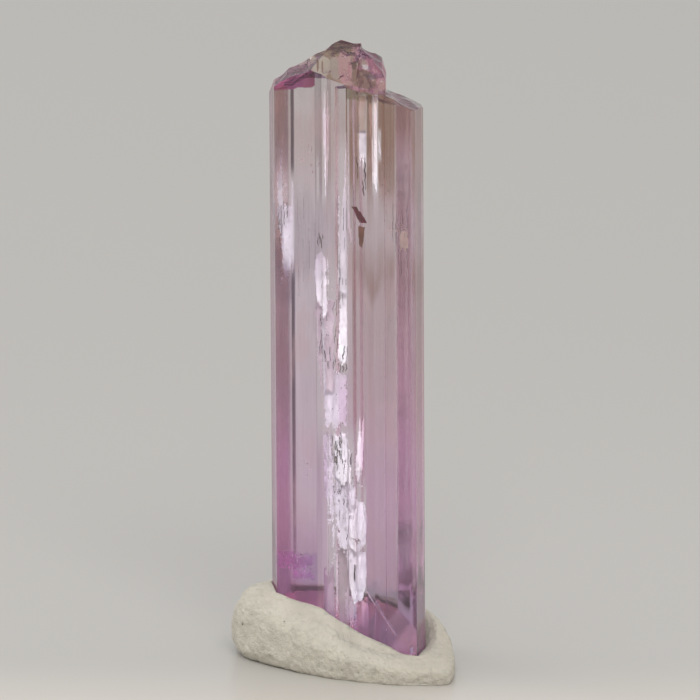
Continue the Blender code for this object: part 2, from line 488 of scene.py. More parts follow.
def breakRoof(obj, settings):  # hollow chips all over the roof's faces
    rng = random.Random(settings["seed"])
    bm = bmesh.new()
    bm.from_mesh(obj.data)
    mark = bm.faces.layers.float.new("roof")
    lowest = settings["above"] * mm
    roof = [face for face in bm.faces if face.normal.z > 0.2 and face.calc_center_median().z > lowest]
    for face in roof:
        face[mark] = 1.0
    bmesh.ops.triangulate(bm, faces=roof)
    for _ in range(settings["splits"]):
        long = [
            edge for edge in bm.edges if edge.calc_length() > settings["grain"] * 1.5 * mm
            and any(face[mark] > 0.5 for face in edge.link_faces)
        ]
        if not long:
            break
        bmesh.ops.subdivide_edges(bm, edges=long, cuts=1)
        wide = [face for face in bm.faces if face[mark] > 0.5 and len(face.verts) > 3]
        bmesh.ops.triangulate(bm, faces=wide)
    points = {vert for face in bm.faces if face[mark] > 0.5 for vert in face.verts}
    places = sorted((vert.co.copy() for vert in points), key=tuple)
    chips = [
        (rng.choice(places) / mm, rng.uniform(*settings["depth"]), rng.uniform(*settings["hollow"]),
         rng.uniform(-1, 1) * settings["tilt"], rng.uniform(-1, 1) * settings["tilt"])
        for _ in range(settings["chips"])
    ]
    top = max(places, key=lambda place: place.z) / mm
    for vert in points:
        spot = vert.co / mm
        drop = 0.0
        for middle, depth, hollow, tiltX, tiltY in chips:
            dx, dy = spot.x - middle.x, spot.y - middle.y
            drop = min(drop, hollow * (dx * dx + dy * dy) + tiltX * dx + tiltY * dy - depth)
        fromTop = (spot - top).length / settings["whole"]
        vert.co.z += max(drop, -settings["deepest"]) * min(1.0, fromTop) * mm
    bmesh.ops.recalc_face_normals(bm, faces=bm.faces)
    bm.to_mesh(obj.data)
    bm.free()
    for face, onRoof in zip(obj.data.polygons, obj.data.attributes["roof"].data):
        face.use_smooth = onRoof.value > 0.5
    obj.data.set_sharp_from_angle(angle=math.radians(settings["sharp"]))


def makeCrystal(shape, material):
    tree = makeColumnTree()
    columns = [makeColumn(index, tree, material, shape) for index in range(len(columnPlans))]
    crystal = columns[0]
    for other in columns[1:]:
        union = crystal.modifiers.new(other.name, "BOOLEAN")
        union.operation = "UNION"
        union.solver = "EXACT"
        union.object = other
    applyModifiers(crystal)
    for other in columns[1:]:
        bpy.data.objects.remove(other)
    crystal.data.transform(Matrix.Rotation(math.radians(shape["lean"]), 4, "Y"))
    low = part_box("tanzanite_crystal")[0]
    points = [vertex.co for vertex in crystal.data.vertices]
    shift = Vector((low.x - min(p.x for p in points), low.y - min(p.y for p in points), 0))
    crystal.data.transform(Matrix.Translation(shift))
    oneMaterial(crystal, material)
    breakRoof(crystal, brokenRoof)
    crystal.name = "crystal"
    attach(crystal, "root")
    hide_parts("tanzanite_crystal")
    return crystal, shift


# Depth of tone of each band across the front, from 0 for pale to 1 for deep, from its left edge in
# millimetres. The bands are partly the crystal's colour zoning and partly painted shade: dark strips that
# stand in for darker surroundings seen through the striated faces.
upperZoningAndShade = [
    (-3.60, 0.65), (-3.22, 0.80), (-2.57, 0.25), (-2.45, 1.00), (-2.28, 0.03), (-1.30, 0.50), (-1.06, 0.65),
    (-0.96, 0.00), (-0.72, 0.50), (-0.53, 0.12), (0.17, 0.85), (0.24, 0.10), (0.33, 0.80), (0.50, 0.10),
    (0.58, 0.75), (0.81, 0.10), (1.15, 0.85), (1.46, 0.00), (1.68, 0.85), (2.01, 0.80), (2.48, 0.55),
    (3.45, 0.65),
]
lowerZoningAndShade = [
    (-3.60, 0.60), (-3.22, 0.80), (-2.57, 0.40), (-2.45, 1.00), (-2.28, 0.06), (-1.30, 0.35), (-1.06, 0.15),
    (-0.96, 0.05), (0.17, 0.20), (0.42, 0.80), (0.60, 0.45), (1.15, 0.55), (1.46, 0.45), (2.01, 0.55),
    (3.45, 0.85),
]
glassTone = {
    "bending": 1.69,             # index of refraction
    "offset": 0.012,             # millimetres from the row's axis to the crystal's own
    "bandRange": (-3.80, 4.20),  # millimetres across that the bands' ramp covers
    "upperFrom": (24.5, 27.5),   # heights between which the upper bands come in
    "lowerTo": (22.0, 24.5),     # and the lower bands go out
    "height": 32.0,              # millimetres that the colour ramps below cover
    "pale": [
        (0.0, (0.95, 0.80, 0.95)), (0.30, (0.95, 0.83, 0.96)), (0.50, (0.97, 0.89, 0.96)),
        (0.68, (0.98, 0.93, 1.0)), (0.82, (0.90, 0.82, 0.82)), (0.90, (0.88, 0.87, 0.87)),
    ],
    "deepLeft": [
        (0.0, (0.66, 0.44, 0.60)), (0.28, (0.64, 0.44, 0.60)), (0.42, (0.42, 0.33, 0.41)),
        (0.60, (0.47, 0.39, 0.48)), (0.82, (0.44, 0.36, 0.40)),
    ],
    "deepRight": [
        (0.0, (0.52, 0.32, 0.40)), (0.18, (0.72, 0.46, 0.62)), (0.28, (0.82, 0.52, 0.74)),
        (0.42, (0.70, 0.46, 0.50)), (0.52, (0.57, 0.41, 0.42)), (0.68, (0.56, 0.41, 0.37)),
        (0.82, (0.40, 0.22, 0.14)),
    ],
    "side": (0.66, 0.55, 0.61),
    "bright": (1.0, 0.98, 1.0),
    "absorption": (0.79, 0.43, 0.75),
    "density": 30.0,
}

# Colours painted on the front, and where they end, in millimetres: tints of the glass, a painted shade line,
# painted reflections of the roof and of the foot, and painted pink light at the foot.
frontTintsAndPaintedLight = {
    "leftFace": (-3.25, -1.28),      # from its left edge to its right edge
    # painted shade: a near-black line down the left face, standing in for a line of refracted shade
    "shadeLine": (0.06, 0.03, 0.06),
    "blush": (0.94, 0.70, 0.74),
    "magentaReflectionFrom": (29.10, 29.16),   # the magenta band below the sloping roof, a painted internal reflection
    # painted reflection: magenta, purple and wine of the band under the roof
    "magenta": (0.54, 0.17, 0.34),
    "purple": (0.44, 0.12, 0.31),
    "wine": (0.40, 0.11, 0.22),
    "roofEdge": (30.20, 30.32, 0.496),  # above this the viewer looks into the roof, painted as its magenta reflection, and its rise to the right
    "intoRoofReflection": (1.0, 0.34, 0.66),
    "oliveBand": (28.45, 29.02),
    "olive": (0.38, 0.32, 0.22),
    "blotchBand": (28.9, 29.5),
    "blotch": (0.48, 0.32, 0.26),
    "glowTop": (5.5, 8.5),           # where the foot's colours fade out; the glow is painted pink light near the foot
    "glow": (0.66, 0.40, 0.62),
    # painted reflection: magenta of the broken foot mirrored low on the left face
    "leftFootReflectionTop": (5.60, 5.70),
    "leftFootReflection": ((0.74, 0.38, 0.66), (0.64, 0.46, 0.70)),
    "rightFootTop": (4.3, 5.0),
    "rightFoot": ((0.58, 0.54, 0.76), (0.52, 0.48, 0.58)),
    "footLine": (5.655, 1.486),      # a bright edge at the foot: height at the axis, fall to the right
    "footLineColour": (1.0, 0.92, 1.0),
}

# Clear glass in front of what is sealed in it: left, right, bottom, top, softness of its ends, share.
clearPatches = [
    (-3.12, -2.60, 21.4, 24.2, 0.9, 0.80), (-2.90, -2.28, 19.9, 22.0, 0.6, 0.85),
    (-2.52, -2.28, 21.0, 24.4, 0.6, 0.85), (-0.92, -0.76, 23.4, 28.6, 0.4, 0.9),
    (-0.22, 0.24, 14.8, 26.4, 0.8, 0.85), (-1.26, -0.22, 11.5, 20.6, 1.2, 0.65),
    (0.80, 1.18, 25.0, 28.5, 0.3, 0.9), (1.44, 1.72, 23.8, 28.6, 0.3, 0.95),
    (1.70, 1.86, 25.5, 27.0, 0.2, 0.9), (0.58, 1.06, 3.2, 9.6, 0.8, 0.92),
    (0.58, 0.84, 9.6, 12.4, 0.6, 0.9), (-1.22, -1.10, 23.4, 25.3, 0.4, 0.8),
    (-0.80, 0.58, 3.0, 12.0, 0.8, 0.88), (2.50, 3.30, 5.5, 26.6, 1.0, 0.45),
    (-2.26, -1.40, 27.4, 28.3, 0.6, 0.5),
]

# Colours of the roof's breaks from the left end to the right, in the same range as the bands: the glass's
# tint together with painted reflections of what each break shows.
roofColours = [
    (0.0, (0.80, 0.62, 0.64)), (0.20, (0.76, 0.56, 0.58)), (0.30, (0.80, 0.72, 0.62)),
    (0.39, (0.60, 0.46, 0.32)), (0.44, (0.46, 0.34, 0.22)), (0.48, (0.58, 0.42, 0.30)),
    (0.52, (0.84, 0.52, 0.52)), (0.57, (0.40, 0.24, 0.18)), (0.62, (0.74, 0.36, 0.44)),
    (0.68, (0.86, 0.46, 0.56)), (0.74, (0.80, 0.44, 0.50)), (0.80, (0.70, 0.42, 0.38)),
    (0.94, (0.66, 0.38, 0.34)),
]

# Tints and painted reflections on the roof as the viewer sees them, from the left to the right: across,
# upwards, half width, half height, turn in degrees, colour, share. Later ones lie over earlier ones.
roofTintsAndReflections = [
    (-1.37, 29.17, 0.80, 0.09, 27, (0.72, 0.26, 0.34), 0.8),
    (-1.10, 28.40, 0.48, 0.50, 0, (0.86, 0.80, 0.68), 0.8),
    (-1.27, 28.45, 0.05, 0.34, 0, (0.40, 0.24, 0.17), 0.9),
    (-1.05, 28.35, 0.04, 0.30, 0, (0.40, 0.24, 0.17), 0.9),
    (-0.17, 29.26, 0.50, 0.48, 0, (0.46, 0.36, 0.22), 0.9),
    (-0.46, 28.30, 0.26, 0.55, 8, (0.68, 0.60, 0.52), 0.9),
    (1.32, 28.50, 0.66, 0.85, 10, (0.84, 0.42, 0.54), 0.8),
    (0.78, 29.00, 0.28, 0.32, 0, (0.96, 0.70, 0.76), 0.8),
    (0.80, 28.50, 0.26, 0.22, 0, (0.62, 0.52, 0.42), 0.8),
    (0.89, 27.75, 0.66, 0.44, -22, (0.42, 0.27, 0.20), 0.9),
    (0.02, 28.34, 0.32, 0.82, 6, (0.84, 0.54, 0.54), 0.9),
    (0.46, 28.40, 0.12, 0.20, 0, (0.22, 0.12, 0.09), 0.9),
    # painted glint: a white spot on the roof
    (1.02, 28.32, 0.20, 0.12, -20, (1.0, 1.0, 1.0), 0.9),
    (1.78, 27.40, 0.13, 0.26, 0, (1.0, 0.92, 0.86), 0.9),
    (1.30, 27.85, 0.12, 0.20, 30, (0.98, 0.84, 0.76), 0.8),
    (2.50, 27.05, 1.00, 0.30, -27, (0.74, 0.42, 0.40), 0.8),
    # painted shade: dark red rims along the top breaks
    (-0.31, 29.70, 0.45, 0.15, 0, (0.40, 0.05, 0.09), 1.0),
    (0.36, 29.62, 0.50, 0.20, 0, (0.36, 0.03, 0.07), 1.0),
    (1.03, 29.35, 0.46, 0.22, -32, (0.36, 0.04, 0.09), 1.0),
    (1.60, 28.92, 0.44, 0.22, -48, (0.40, 0.06, 0.13), 1.0),
    (1.96, 28.15, 0.15, 0.50, 5, (0.62, 0.16, 0.34), 0.9),
]


def paintZoningAndShade(nodes, spot, across, drift, tone):  # the colour zoning with its painted shade bands, and the pale tone alone
    x, y, z = spot
    low, high = tone["bandRange"]
    wobble = (nodes.noise(nodes.vector(x * 0.6, y, z * 0.25), 1.0, 3.0) - 0.5) * 0.05
    bandPlace = (across + wobble - low) / (high - low)

    def depth(bands):
        stops = [((edge - low) / (high - low), value) for edge, value in bands]
        return nodes.add("ShaderNodeSeparateColor", {}, {0: nodes.ramp(bandPlace, stops, "CONSTANT")})

    slow = z + drift * 5.0
    fine = nodes.noise(nodes.vector(x * 9.0, y * 2.0, z * 0.18), 1.0, 4.0, 0.65) - 0.5
    hair = nodes.noise(nodes.vector(x * 34.0, y * 4.0, z * 0.5), 1.0, 2.0, 0.6) - 0.5
    deepness = depth(upperZoningAndShade) * slow.rise(*tone["upperFrom"])
    deepness = deepness + depth(lowerZoningAndShade) * (1 - slow.rise(*tone["lowerTo"]))
    deepness = deepness + drift * 0.75 * slow.between(21.5, 25.5, 1.0) + fine * 0.55 + hair * 0.22
    share = z / tone["height"]
    pale = nodes.ramp(share, tone["pale"])
    deep = nodes.mix(
        across.rise(-1.2, 0.2), nodes.ramp(share, tone["deepLeft"]), nodes.ramp(share, tone["deepRight"]),
    )
    front = nodes.mix(nodes.add("ShaderNodeClamp", {}, {0: deepness}), pale, deep)
    # painted shade line down the left face
    shadeLine = (across + wobble).between(-2.44, -2.31, 0.02) * (1 - z.between(19.4, 24.3, 0.4))
    return pale, nodes.mix(shadeLine * 0.55, front, frontTintsAndPaintedLight["shadeLine"])


def paintFrontTintsAndLight(nodes, front, spot, across, ragged, frontPaints):  # the top's and the foot's colours: tints, painted reflections and painted light
    x, y, z = spot
    left, right = frontPaints["leftFace"]
    leftFace = (across < right) * (across > left)
    blush = nodes.noise(nodes.vector(x * 0.9, y, z * 0.35), 1.0, 3.0, 0.6)
    front = nodes.mix(blush.rise(0.50, 0.72) * 0.35, front, frontPaints["blush"])

    # painted reflection: the magenta band under the left roof slope, an internal reflection painted on the
    # front
    magenta = (z - across * 0.22 + ragged * 0.3).rise(*frontPaints["magentaReflectionFrom"]) * leftFace
    purple = (across + ragged * 1.2).between(-2.75, -1.75, 0.3)
    mirroredColour = nodes.mix(purple, frontPaints["magenta"], frontPaints["purple"])
    mirroredColour = nodes.mix(across.rise(-2.0, -1.3), mirroredColour, frontPaints["wine"])
    front = nodes.mix(magenta, front, mirroredColour)
    # painted reflection: above the roof's front edge the glass shows the roof from inside, painted magenta
    edgeLow, edgeHigh, slope = frontPaints["roofEdge"]
    front = nodes.mix((z - across * slope).rise(edgeLow, edgeHigh) * leftFace, front, frontPaints["intoRoofReflection"])
    olive = (z + across * 0.12 + ragged * 0.25).between(*frontPaints["oliveBand"], 0.06)
    front = nodes.mix(olive * across.between(0.20, 1.55, 0.05) * 0.85, front, frontPaints["olive"])
    blotch = (z + across * 0.30).between(*frontPaints["blotchBand"], 0.15) * ragged.rise(0.02, 0.10)
    front = nodes.mix(blotch * (across > 1.7) * 0.8, front, frontPaints["blotch"])

    # painted light: a pink glow low on the left face
    glow = (1 - z.rise(*frontPaints["glowTop"])) * leftFace
    front = nodes.mix(glow * 0.55, front, frontPaints["glow"])
    # painted reflection: the foot's magenta low on the left face
    leftFootReflection = (1 - (z + ragged * 0.9).rise(*frontPaints["leftFootReflectionTop"])) * leftFace
    front = nodes.mix(leftFootReflection * 0.85, front, nodes.mix(across.rise(-3.0, -1.5), *frontPaints["leftFootReflection"]))
    rightFoot = (1 - (z + ragged * 1.2 + across * 0.2).rise(*frontPaints["rightFootTop"])) * (across > 0.45)
    footColour = nodes.mix((across + z * 0.69).rise(3.45, 4.15), *frontPaints["rightFoot"])
    front = nodes.mix(rightFoot * 0.8, front, footColour)
    height, fall = frontPaints["footLine"]
    footLine = (1 - abs(z + across * fall - height).rise(0.03, 0.10)) * z.between(2.0, 4.1, 0.05)
    return nodes.mix(footLine * 0.9, front, frontPaints["footLineColour"])


def paintRoof(nodes, spot, across, ragged, tone):  # each break takes the colour of what it shows, a painted reflection
    x, y, z = spot
    low, high = tone["bandRange"]
    cells = nodes.add("ShaderNodeTexVoronoi", {}, {
        "Vector": nodes.vector(x, y * 1.3, z * 0.8), "Scale": 1.35,
    })
    chance = nodes.add("ShaderNodeSeparateColor", {}, {0: cells.out("Color")})
    roofPlace = (across + (chance - 0.5) * 1.3 + ragged * 0.5 - low) / (high - low)
    roof = nodes.ramp(roofPlace, roofColours)
    roof = nodes.mix(chance.out("Green") * 0.25, roof, (0.95, 0.80, 0.80))
    tilt = math.radians(cameraView["elevation"])
    upImage = z * math.cos(tilt) + y * math.sin(tilt)
    for spotX, spotUp, wide, tall, turn, colour, share in roofTintsAndReflections:
        cos, sin = math.cos(math.radians(turn)), math.sin(math.radians(turn))
        along = ((x - spotX) * cos + (upImage - spotUp) * sin) / wide
        over = ((upImage - spotUp) * cos - (x - spotX) * sin) / tall
        edge = (along * along + over * over + ragged * 1.1).rise(1.15, 0.85)
        roof = nodes.mix(edge * share, roof, colour)
    return roof


def makeGlass(tone):
    material, nodes = newMaterial("tanzaniteGlass")
    spot = place(nodes)
    x, y, z = spot
    across = x - z * math.tan(math.radians(crystalShape["lean"])) - tone["offset"]
    drift = nodes.noise(nodes.vector(x * 1.6, y * 0.4, z * 0.22), 1.0, 3.0)
    ragged = nodes.noise(nodes.vector(x * 3.0, y, z * 2.0), 1.0, 4.0) - 0.5
    pale, front = paintZoningAndShade(nodes, spot, across, drift, tone)
    front = paintFrontTintsAndLight(nodes, front, spot, across, ragged, frontTintsAndPaintedLight)
    for left, right, bottom, top, soft, share in clearPatches:
        ends = (z + drift * soft).between(bottom + soft / 2, top + soft / 2, soft)
        front = nodes.mix(across.between(left, right, 0.03) * ends * share, front, tone["bright"])
    side = nodes.mix(0.5, pale, (1.0, 1.0, 1.0))
    side = nodes.mix(across.rise(-3.25, -3.15), tone["side"], side)
    onRoof = nodes.add("ShaderNodeAttribute", {"attribute_name": "roof"}).out("Fac")
    tint = nodes.mix(1 - y.rise(0.1, 0.7), side, front)
    tint = nodes.mix(onRoof, tint, paintRoof(nodes, spot, across, ragged, tone))
    squared = nodes.add("ShaderNodeGamma", {}, {"Color": tint, "Gamma": 2.0})
    ripple = nodes.noise(nodes.vector(x * 22.0, y * 22.0, z * 0.5), 1.0, 3.0)
    chipped = nodes.noise(nodes.vector(x * 2.6, y * 2.6, z * 2.6), 1.0, 3.0, 0.6)
    relief = nodes.add("ShaderNodeMix", {"data_type": "FLOAT"}, {
        "Factor": onRoof, 2: ripple * 0.12, 3: chipped * 1.5,
    })
    bump = nodes.add("ShaderNodeBump", {}, {"Strength": 1.0, "Distance": 0.00002, "Height": relief})
    depthTint = nodes.add("ShaderNodeVolumeAbsorption", {}, {
        "Color": (*tone["absorption"], 1), "Density": tone["density"],
    })
    finishMaterial(nodes, {
        "Base Color": squared, "Roughness": 0.0, "Transmission Weight": 1.0, "IOR": tone["bending"],
        "Normal": bump,
    }, depthTint)
    return material


glass = makeGlass(glassTone)
crystal, crystalShift = makeCrystal(crystalShape, glass)
print("crystal made", len(crystal.data.polygons), "faces")


# What is sealed in the crystal

# The front's outline in plan, from left to right, in millimetres.
frontLine = [
    (-3.22, -0.10), (-2.52, -0.48), (-2.28, -0.56), (-1.28, -1.00), (-0.98, -1.08), (-0.72, -1.24),
    (-0.53, -1.30), (0.19, -1.60), (0.62, -1.72), (0.82, -1.84), (1.15, -1.92), (1.47, -2.08),
    (1.69, -2.10), (2.02, -2.26), (3.46, -2.50),
]
beyondSlope = -0.17  # of the front past its ends
# how far the viewer's line of sight goes down inside the glass, per millimetre of depth
sightDrop = math.tan(math.asin(math.sin(math.radians(cameraView["elevation"])) / glassTone["bending"]))


def frontAt(across):  # how far back the front face is at this place, and how it slopes to the right
    for (left, near), (right, far) in zip(frontLine, frontLine[1:]):
        if left <= across <= right:
            slope = (far - near) / (right - left)
            return near + slope * (across - left), slope
    end = frontLine[0] if across < frontLine[0][0] else frontLine[-1]
    return end[1], beyondSlope


def glassBend(across):  # how far aside the front face shifts what is seen through it, per millimetre of depth
    turned = math.atan(-frontAt(across)[1])
    return math.tan(turned - math.asin(math.sin(turned) / glassTone["bending"]))


# What is drawn as the viewer sees it goes behind the front face, its top further back by the lean, and each
# point is moved by as much as the glass will seem to move it.
def settle(obj, lean, inside):
    low = min(vertex.co.y for vertex in obj.data.vertices) / mm
    across = [vertex.co.x / mm for vertex in obj.data.vertices]
    middle = (min(across) + max(across)) / 2
    aside = glassBend(middle)
    near = max(frontAt(min(across))[0] - aside * (middle - min(across)), frontAt(middle)[0])
    slope = math.tan(math.radians(lean))
    for vertex in obj.data.vertices:
        x, h, lift = vertex.co / mm
        face = frontAt(x)[0]
        behind = near - face - aside * (x - middle) + inside + slope * (h - low) - lift
        spot = Vector((x + aside * behind, face + behind, h - sightDrop * behind))
        spot.x += math.tan(math.radians(crystalShape["lean"])) * h
        vertex.co = spot * mm + crystalShift


def makeSheetTree():
    tree, nodes, given = geometryTree("sheet", [
        ("Cell", "Float"), ("Cover", "Float"), ("Streak", "Float"), ("Ragged", "Float"), ("Relief", "Float"),
        ("Thickness", "Float"), ("Seed", "Int"), ("Material", "Material"),
    ])
    cell = given.out("Cell")
    box = nodes.add("GeometryNodeBoundBox", {}, {"Geometry": given})
    low, high = box.out("Min"), box.out("Max")
    middle = nodes.add("ShaderNodeVectorMath", {"operation": "SCALE"}, {
        0: nodes.add("ShaderNodeVectorMath", {"operation": "ADD"}, {0: low, 1: high}), "Scale": 0.5,
    })
    size = nodes.add("ShaderNodeSeparateXYZ", {}, {
        0: nodes.add("ShaderNodeVectorMath", {"operation": "SUBTRACT"}, {0: high, 1: low}),
    })
    wide, tall = size.out("X"), size.out("Y")
    grid = nodes.add("GeometryNodeMeshGrid", {}, {
        "Size X": wide, "Size Y": tall, "Vertices X": wide / cell + 2.0, "Vertices Y": tall / cell + 2.0,
    })
    placed = nodes.add("GeometryNodeTransform", {}, {"Geometry": grid, "Translation": middle})
    spot = nodes.add("GeometryNodeInputPosition")
    parts = nodes.add("ShaderNodeSeparateXYZ", {}, {0: spot})
    x, y = parts.out("X"), parts.out("Y")
    seed = given.out("Seed") * 7.31
    drift = nodes.noise(nodes.vector(x / cell * 0.30, y / cell * 0.09, seed + 5.0), 1.0, 4.0, 0.65) - 0.5
    rise = nodes.noise(nodes.vector(x / cell * 0.35, y / cell * 0.12, seed + 9.0), 1.0, 4.0, 0.65) - 0.5
    moved = nodes.add("ShaderNodeVectorMath", {"operation": "ADD"}, {
        0: spot, 1: nodes.vector(drift * given.out("Ragged"), rise * given.out("Ragged") * 3.0, 0.0),
    })
    above = nodes.add("ShaderNodeVectorMath", {"operation": "ADD"}, {0: moved, 1: (0.0, 0.0, 0.001)})
    hit = nodes.add("GeometryNodeRaycast", {}, {
        "Target Geometry": given, "Source Position": above, "Ray Direction": (0.0, 0.0, -1.0),
        "Ray Length": 0.002,
    })
    rim = nodes.add("GeometryNodeProximity", {"target_element": "EDGES"}, {
        0: given, "Source Position": moved,
    })
    fromRim = nodes.add("ShaderNodeClamp", {}, {0: rim.out("Distance") / (cell * 5.0)})
    tear = nodes.vector(x / cell * 0.22, y / cell * 0.22 / given.out("Streak"), seed)
    torn = nodes.noise(tear, 1.0, 3.0, 0.6)
    score = torn + fromRim * 0.22
    gone = nodes.add("FunctionNodeBooleanMath", {"operation": "OR"}, {
        0: score < 0.80 - 0.65 * given.out("Cover"), 1: hit < 0.5,
    })
    holed = nodes.add("GeometryNodeDeleteGeometry", {"domain": "FACE", "mode": "ALL"}, {
        "Geometry": placed, "Selection": gone,
    })
    swell = nodes.noise(nodes.vector(x / cell * 0.16, y / cell * 0.05, seed + 3.0), 1.0, 3.0, 0.6) - 0.5
    wavy = nodes.add("GeometryNodeSetPosition", {}, {
        "Geometry": holed, "Offset": nodes.vector(0.0, 0.0, swell * given.out("Relief")),
    })
    finishTree(nodes, thicken(nodes, wavy, (0.0, 0.0, 1.0), given.out("Thickness")), given.out("Material"))
    return tree


def makeFlakeTree():
    tree, nodes, given = geometryTree("flakes", [
        ("Width", "Float"), ("Height", "Float"), ("Depth", "Float"), ("Count", "Float"), ("Size", "Float"),
        ("Stretch", "Float"), ("Tilt", "Float"), ("Seed", "Int"), ("Material", "Material"),
    ])
    width, height = given.out("Width"), given.out("Height")
    seed = given.out("Seed")

    def chance(low, high, offset):
        return nodes.add("FunctionNodeRandomValue", {"data_type": "FLOAT"}, {
            "Min": low, "Max": high, "Seed": seed + offset,
        })

    sheet = nodes.add(
        "GeometryNodeMeshGrid", {}, {"Size X": width, "Size Y": height, "Vertices X": 2, "Vertices Y": 2},
    )
    spots = nodes.add("GeometryNodeDistributePointsOnFaces", {}, {
        "Mesh": sheet, "Density": given.out("Count") / (width * height), "Seed": seed,
    })
    parts = nodes.add("ShaderNodeSeparateXYZ", {}, {0: nodes.add("GeometryNodeInputPosition")})
    reach = (parts.out("X") / width * 2) ** 2.0 + (parts.out("Y") / height * 2) ** 2.0
    inside = nodes.add(
        "GeometryNodeDeleteGeometry", {"domain": "POINT"}, {"Geometry": spots, "Selection": reach > 1.0},
    )
    spread = nodes.add("GeometryNodeSetPosition", {}, {
        "Geometry": inside, "Offset": nodes.vector(0.0, 0.0, chance(-0.5, 0.5, 1) * given.out("Depth")),
    })
    flake = nodes.add("GeometryNodeMeshCylinder", {}, {"Vertices": 5, "Radius": 1.0, "Depth": 0.10})
    tilt = given.out("Tilt")
    turn = nodes.vector(chance(-1.0, -0.25, 2) * tilt, chance(-0.6, 0.6, 3) * tilt, chance(-0.5, 0.5, 4))
    size = chance(0.35, 1.0, 5) * given.out("Size")
    scattered = nodes.add("GeometryNodeInstanceOnPoints", {}, {
        "Points": spread, "Instance": flake, "Rotation": turn,
        "Scale": nodes.vector(size, size * given.out("Stretch"), size),
    })
    whole = nodes.add("GeometryNodeRealizeInstances", {}, {"Geometry": scattered})
    rough = nodes.add("ShaderNodeVectorMath", {"operation": "SUBTRACT"}, {
        0: nodes.noise(nodes.add("GeometryNodeInputPosition"), 9000.0, 1.0).out("Color"), 1: (0.5, 0.5, 0.5),
    })
    ragged = nodes.add("GeometryNodeSetPosition", {}, {"Geometry": whole, "Offset": nodes.add(
        "ShaderNodeVectorMath", {"operation": "SCALE"}, {0: rough, "Scale": given.out("Size") * 1.2},
    )})
    finishTree(nodes, ragged, given.out("Material"))
    return tree


def makeThreadTree():
    tree, nodes, given = geometryTree("threads", [
        ("Width", "Float"), ("Height", "Float"), ("Count", "Float"), ("Length", "Float"), ("Radius", "Float"),
        ("Wander", "Float"), ("Seed", "Int"), ("Material", "Material"),
    ])
    width, height, seed = given.out("Width"), given.out("Height"), given.out("Seed")
    sheet = nodes.add(
        "GeometryNodeMeshGrid", {}, {"Size X": width, "Size Y": height, "Vertices X": 2, "Vertices Y": 2},
    )
    spots = nodes.add("GeometryNodeDistributePointsOnFaces", {}, {
        "Mesh": sheet, "Density": given.out("Count") / (width * height), "Seed": seed,
    })
    line = nodes.add("GeometryNodeCurvePrimitiveLine", {}, {
        "Start": (0.0, -0.5, 0.0), "End": (0.0, 0.5, 0.0),
    })
    beaded = nodes.add("GeometryNodeResampleCurve", {}, {"Curve": line, "Count": 22})
    size = nodes.add("FunctionNodeRandomValue", {"data_type": "FLOAT"}, {
        "Min": 0.3, "Max": 1.0, "Seed": seed + 2,
    })
    grown = nodes.add("GeometryNodeInstanceOnPoints", {}, {
        "Points": spots, "Instance": beaded, "Scale": nodes.vector(1.0, size * given.out("Length"), 1.0),
    })
    whole = nodes.add("GeometryNodeRealizeInstances", {}, {"Geometry": grown})
    parts = nodes.add("ShaderNodeSeparateXYZ", {}, {0: nodes.add("GeometryNodeInputPosition")})
    along = nodes.vector(parts.out("X") * 400.0, parts.out("Y") * 3200.0, seed * 3.7)
    sway = (nodes.noise(along, 1.0, 3.0, 0.6) - 0.5) * given.out("Wander")
    bent = nodes.add("GeometryNodeSetPosition", {}, {
        "Geometry": whole, "Offset": nodes.vector(sway, 0.0, sway * 0.25),
    })
    ring = nodes.add("GeometryNodeCurvePrimitiveCircle", {}, {
        "Resolution": 5, "Radius": given.out("Radius"),
    })
    tube = nodes.add("GeometryNodeCurveToMesh", {}, {
        "Curve": bent, "Profile Curve": ring, "Fill Caps": True,
    })
    finishTree(nodes, tube, given.out("Material"))
    return tree


def markBacks(obj):  # 1 on the faces that don't look at the viewer
    marks = obj.data.attributes.new("back", "FLOAT", "FACE")
    marks.data.foreach_set("value", [float(face.normal.y > -0.35) for face in obj.data.polygons])


mattBack = ((0.93, 0.91, 0.94), (0.84, 0.78, 0.85))


def makeSilver(name, colour, metallic, roughness):  # a mirror to the viewer, matt and pale at its back
    material, nodes = newMaterial(name)
    x, y, z = place(nodes)
    back = nodes.add("ShaderNodeAttribute", {"attribute_name": "back"}).out("Fac")
    cloud = nodes.noise(nodes.vector(x * 4.0, y * 4.0, z * 1.2), 1.0, 4.0, 0.6)
    shine = nodes.mix(cloud, colour, tuple(share * 0.80 for share in colour))
    shine = nodes.mix(back, shine, nodes.mix(cloud, *mattBack))
    grain = nodes.noise(nodes.vector(x * 30.0, y * 30.0, z * 12.0), 1.0, 3.0)
    bump = nodes.add("ShaderNodeBump", {}, {"Strength": 0.5, "Distance": 0.00002, "Height": grain})
    finishMaterial(nodes, {
        "Base Color": shine, "Metallic": (1 - back) * metallic, "Roughness": roughness + cloud * 0.2 - 0.1,
        "Normal": bump,
    })
    return material


def makeStain(name, colour, deeper, roughness):
    material, nodes = newMaterial(name)
    x, y, z = place(nodes)
    cloud = nodes.noise(nodes.vector(x * 5.0, y * 5.0, z * 2.0), 1.0, 4.0, 0.6)
    shade = nodes.mix(cloud.rise(0.3, 0.7), colour, deeper)
    finishMaterial(nodes, {"Base Color": shade, "Roughness": roughness})
    return material


